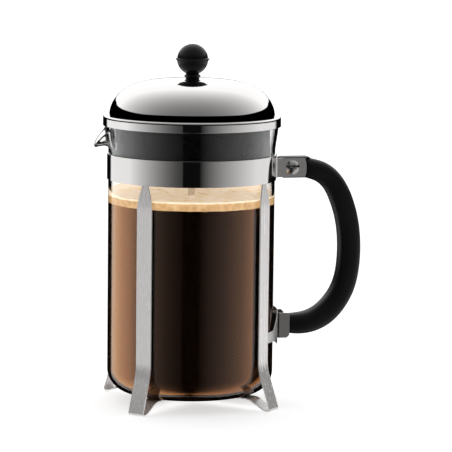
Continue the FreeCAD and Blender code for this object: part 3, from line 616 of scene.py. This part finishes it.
def make_rim_spring():
    """Fine closed coil that presses the filter's edge against the glass."""
    z0, z1 = low("rim_spring").z, high("rim_spring").z
    coil_r = (z1 - z0) / 2
    ring_r = high("rim_spring").x - coil_r
    centre_z = (z1 + z0) / 2
    wire_r = 0.38
    turns, per_turn, sides = 190, 10, 5
    verts = []
    faces = []
    total = turns * per_turn
    for k in range(total):
        along = 2 * math.pi * k / total
        wind = 2 * math.pi * k / per_turn
        out = Vector((math.cos(along), math.sin(along), 0))
        ahead = Vector((-out.y, out.x, 0))
        spoke = out * math.cos(wind) + Vector((0, 0, 1)) * math.sin(wind)
        centre = out * ring_r + Vector((0, 0, centre_z)) + spoke * (coil_r - wire_r)
        for i in range(sides):
            angle = 2 * math.pi * i / sides
            skin = spoke * (wire_r * math.cos(angle)) + ahead * (wire_r * math.sin(angle))
            verts.append((centre + skin) * MM)
            j = (i + 1) % sides
            following = (k + 1) % total
            faces.append((k * sides + i, following * sides + i, following * sides + j, k * sides + j))
    spring = make_object("rim_spring_coil", verts, faces, MATERIALS["filter_steel"], 180.0)
    stands_for(spring, "rim_spring")


make_beaker()
make_coffee()
make_foam()
make_lid()
make_collar()
make_knob()
make_rim_spring()
# every other node keeps its shape and gets edges that are broken by this width
SOFT_EDGES = {
    "frame_band": 0.18, "leg_strap_upper": 0.18, "leg_strap_lower": 0.18, "bridge_plate": 0.15,
    "handle_clip": 0.15, "handle_bolt": 0.15, "handle_nut": 0.2, "nut_washer": 0.15, "clip_screw": 0.08,
    "base_rivet": 0.1, "handle": 0.7, "splash_plate": 0.15, "lid_nut": 0.2, "rod_bushing": 0.1,
    "plunger_rod": 0.4, "spiral_plate": 0.12, "cross_plate": 0.12, "shoulder_nut": 0.2,
    "filter_hub": 0.2, "mesh_filter": 0.1,
}
for node, width in SOFT_EDGES.items():
    softened(node, width)

# ---- studio ----------------------------------------------------------------------------------
VIEW_AZ = math.radians(-12.97)
VIEW_EL = math.radians(7.38)
VIEW_ROLL = math.radians(0.547)
VIEW_DISTANCE = 1.7467
TO_CAMERA = Vector((math.sin(VIEW_AZ), -math.cos(VIEW_AZ), 0))
TO_LEFT = Vector((TO_CAMERA.y, -TO_CAMERA.x, 0))


def side_card(s, away, faint, full_deg, power, level, end_degs):
    """Card on one side: its light sets in beside the dark gap in front, grows, and stops behind.

    away is the angle from the camera's side of the object, and faint is the level beside the gap."""
    gap = math.radians(11.0)
    unlit = 0.0025
    first = s.between(away, gap, gap + math.radians(1.5), unlit, faint)
    growth = s.math("POWER", s.between(away, gap, math.radians(full_deg)), power)
    light = s.math("ADD", first, s.math("MULTIPLY", growth, level - faint))
    stop = s.between(away, math.radians(end_degs[0]), math.radians(end_degs[1]), 1.0, 0.0)
    return s.math("MULTIPLY", light, stop)


def make_world():
    """Soft studio: a wide card on each side, dark gaps between them and a large panel overhead."""
    world = bpy.data.worlds.new("studio")
    bpy.context.scene.world = world
    world.use_nodes = True
    s = Shader(world.node_tree)
    ray = s.add("ShaderNodeTexCoord").outputs["Generated"]
    front = s.dot(ray, TO_CAMERA)
    up = s.add("ShaderNodeSeparateXYZ", {0: ray}).outputs["Z"]
    to_left = s.math("ARCTAN2", s.dot(ray, TO_LEFT), front)
    to_right = s.math("MULTIPLY", to_left, -1.0)
    left_card = side_card(s, to_left, 0.06, 93.0, 1.6, 1.1, (141.0, 145.0))
    right_card = side_card(s, to_right, 0.01, 100.0, 1.0, 1.0, (134.0, 142.0))
    # the cards reach up to a little under the horizon
    card_share = s.between(up, -0.060, -0.078, smooth=True)
    cards = s.math("MULTIPLY", s.math("ADD", left_card, right_card), card_share)
    # the overhead panel's lower edge hangs low straight behind the object (-1) and high in front (1)
    edges = [(-1, 0.03), (-0.97, 0.07), (-0.95, 0.12), (-0.86, 0.20), (-0.6, 0.25), (-0.3, 0.28), (0.3, 0.30),
             (0.92, 0.381)]
    edge = s.ramp(s.between(front, -1.0, 1.0), [((place + 1) / 2, grey(height)) for place, height in edges])
    panel_share = s.between(s.math("SUBTRACT", up, edge), -0.006, 0.006, smooth=True)
    fading = s.math("MULTIPLY", s.math("EXPONENT", s.math("MULTIPLY", front, -1.2)), 0.6)
    panel = s.math("MULTIPLY", s.math("MINIMUM", fading, 1.3), panel_share)
    background = s.add("ShaderNodeBackground", {"Color": s.math("ADD", cards, panel), "Strength": 1.0})
    s.add("ShaderNodeOutputWorld", {"Surface": background.outputs[0]})


def paper_white(name, glow):
    """Matt white paper that lets a reflected ray through to the studio's cards, so no mirror shows it."""
    material, s = new_material(name)
    tooth = s.noise(s.object_place(), 90.0, 3.0)
    colour = s.ramp(tooth, [(0.3, grey(0.86)), (0.7, grey(0.88))])
    paper = s.add("ShaderNodeBsdfPrincipled", {
        "Base Color": colour, "Roughness": 0.9, "Specular IOR Level": 0.0,
        "Emission Color": (1, 1, 1, 1), "Emission Strength": glow})
    mirrored = s.math("GREATER_THAN", s.add("ShaderNodeLightPath").outputs["Glossy Depth"], 0.5)
    clear = s.add("ShaderNodeBsdfTransparent")
    both = s.add("ShaderNodeMixShader", {0: mirrored, 1: paper.outputs[0], 2: clear.outputs[0]})
    s.add("ShaderNodeOutputMaterial", {"Surface": both.outputs[0]})
    return material


def stage_piece(name, verts, faces, material):
    obj = make_object(name, verts, faces, material)
    obj.visible_glossy = False
    return obj


def make_stage():
    """Pale floor and a far round backdrop; neither shows in the metal, which mirrors the cards."""
    reach = 9.0
    bottom, top = -2.0, 6.0
    steps = 64
    corners = [(-reach, -reach, 0), (reach, -reach, 0), (reach, reach, 0), (-reach, reach, 0)]
    stage_piece("floor", corners, [(0, 1, 2, 3)], paper_white("floor_paper", 0.62))
    turns = [2 * math.pi * k / steps for k in range(steps)]
    verts = [(math.cos(turn) * reach, math.sin(turn) * reach, z) for z in (bottom, top) for turn in turns]
    faces = [(k, (k + 1) % steps, steps + (k + 1) % steps, steps + k) for k in range(steps)]
    backdrop = stage_piece("backdrop", verts, faces, paper_white("backdrop_paper", 1.0))
    backdrop.visible_diffuse = False
    backdrop.visible_shadow = False


def make_camera():
    """Long lens in front of the object, a little to the left and above."""
    target = Vector((0, 0, high("knob").z * MM / 2))
    back = TO_CAMERA * math.cos(VIEW_EL) + Vector((0, 0, math.sin(VIEW_EL)))
    data = bpy.data.cameras.new("camera")
    data.lens = 196.6
    data.sensor_width = 36.0
    data.shift_x = 0.0773
    data.shift_y = -0.0062
    camera = bpy.data.objects.new("camera", data)
    camera.location = target + back * VIEW_DISTANCE
    camera.rotation_mode = "QUATERNION"
    camera.rotation_quaternion = back.to_track_quat("Z", "Y") @ Quaternion((0, 0, 1), VIEW_ROLL)
    bpy.context.scene.collection.objects.link(camera)
    bpy.context.scene.camera = camera


make_world()
make_stage()
make_camera()
bpy.context.scene.view_settings.view_transform = "Standard"
